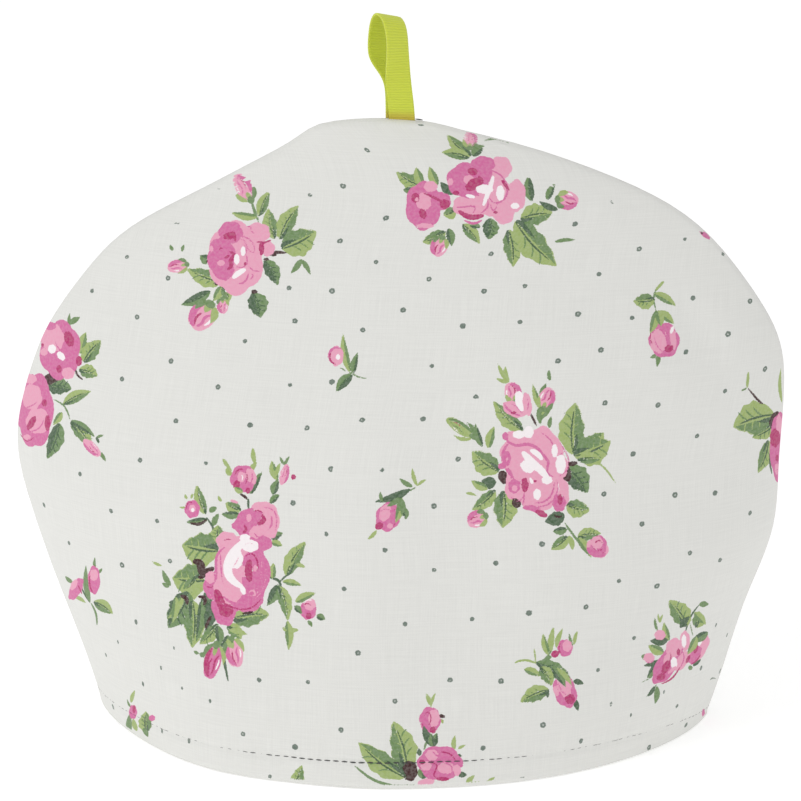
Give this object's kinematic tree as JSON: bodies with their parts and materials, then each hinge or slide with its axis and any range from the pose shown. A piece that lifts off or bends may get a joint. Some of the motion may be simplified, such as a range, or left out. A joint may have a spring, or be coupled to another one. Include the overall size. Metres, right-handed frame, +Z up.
{
  "type": "tea cosy",
  "caption": "Padded cotton tea cosy made of a front and a back panel joined along an arched seam, standing on its open hem, with a ribbon hanging loop at the top.",
  "frame": {"origin": "centre of the cosy's footprint, on the surface that its hem stands on", "axes": "+Z up; the front panel faces -Y; +X is to the right when looking at the front, along the seam's plane"},
  "size_m": [0.3042, 0.2034, 0.2798],
  "materials": {
    "printed_cotton": "matt off-white cotton with small printed flowers and dots",
    "ribbon": "lime green grosgrain with fine cross ribs"
  },
  "bodies": {
    "root": {"front_panel": "printed_cotton", "back_panel": "printed_cotton", "hanging_loop": "ribbon"}
  },
  "joints": []
}
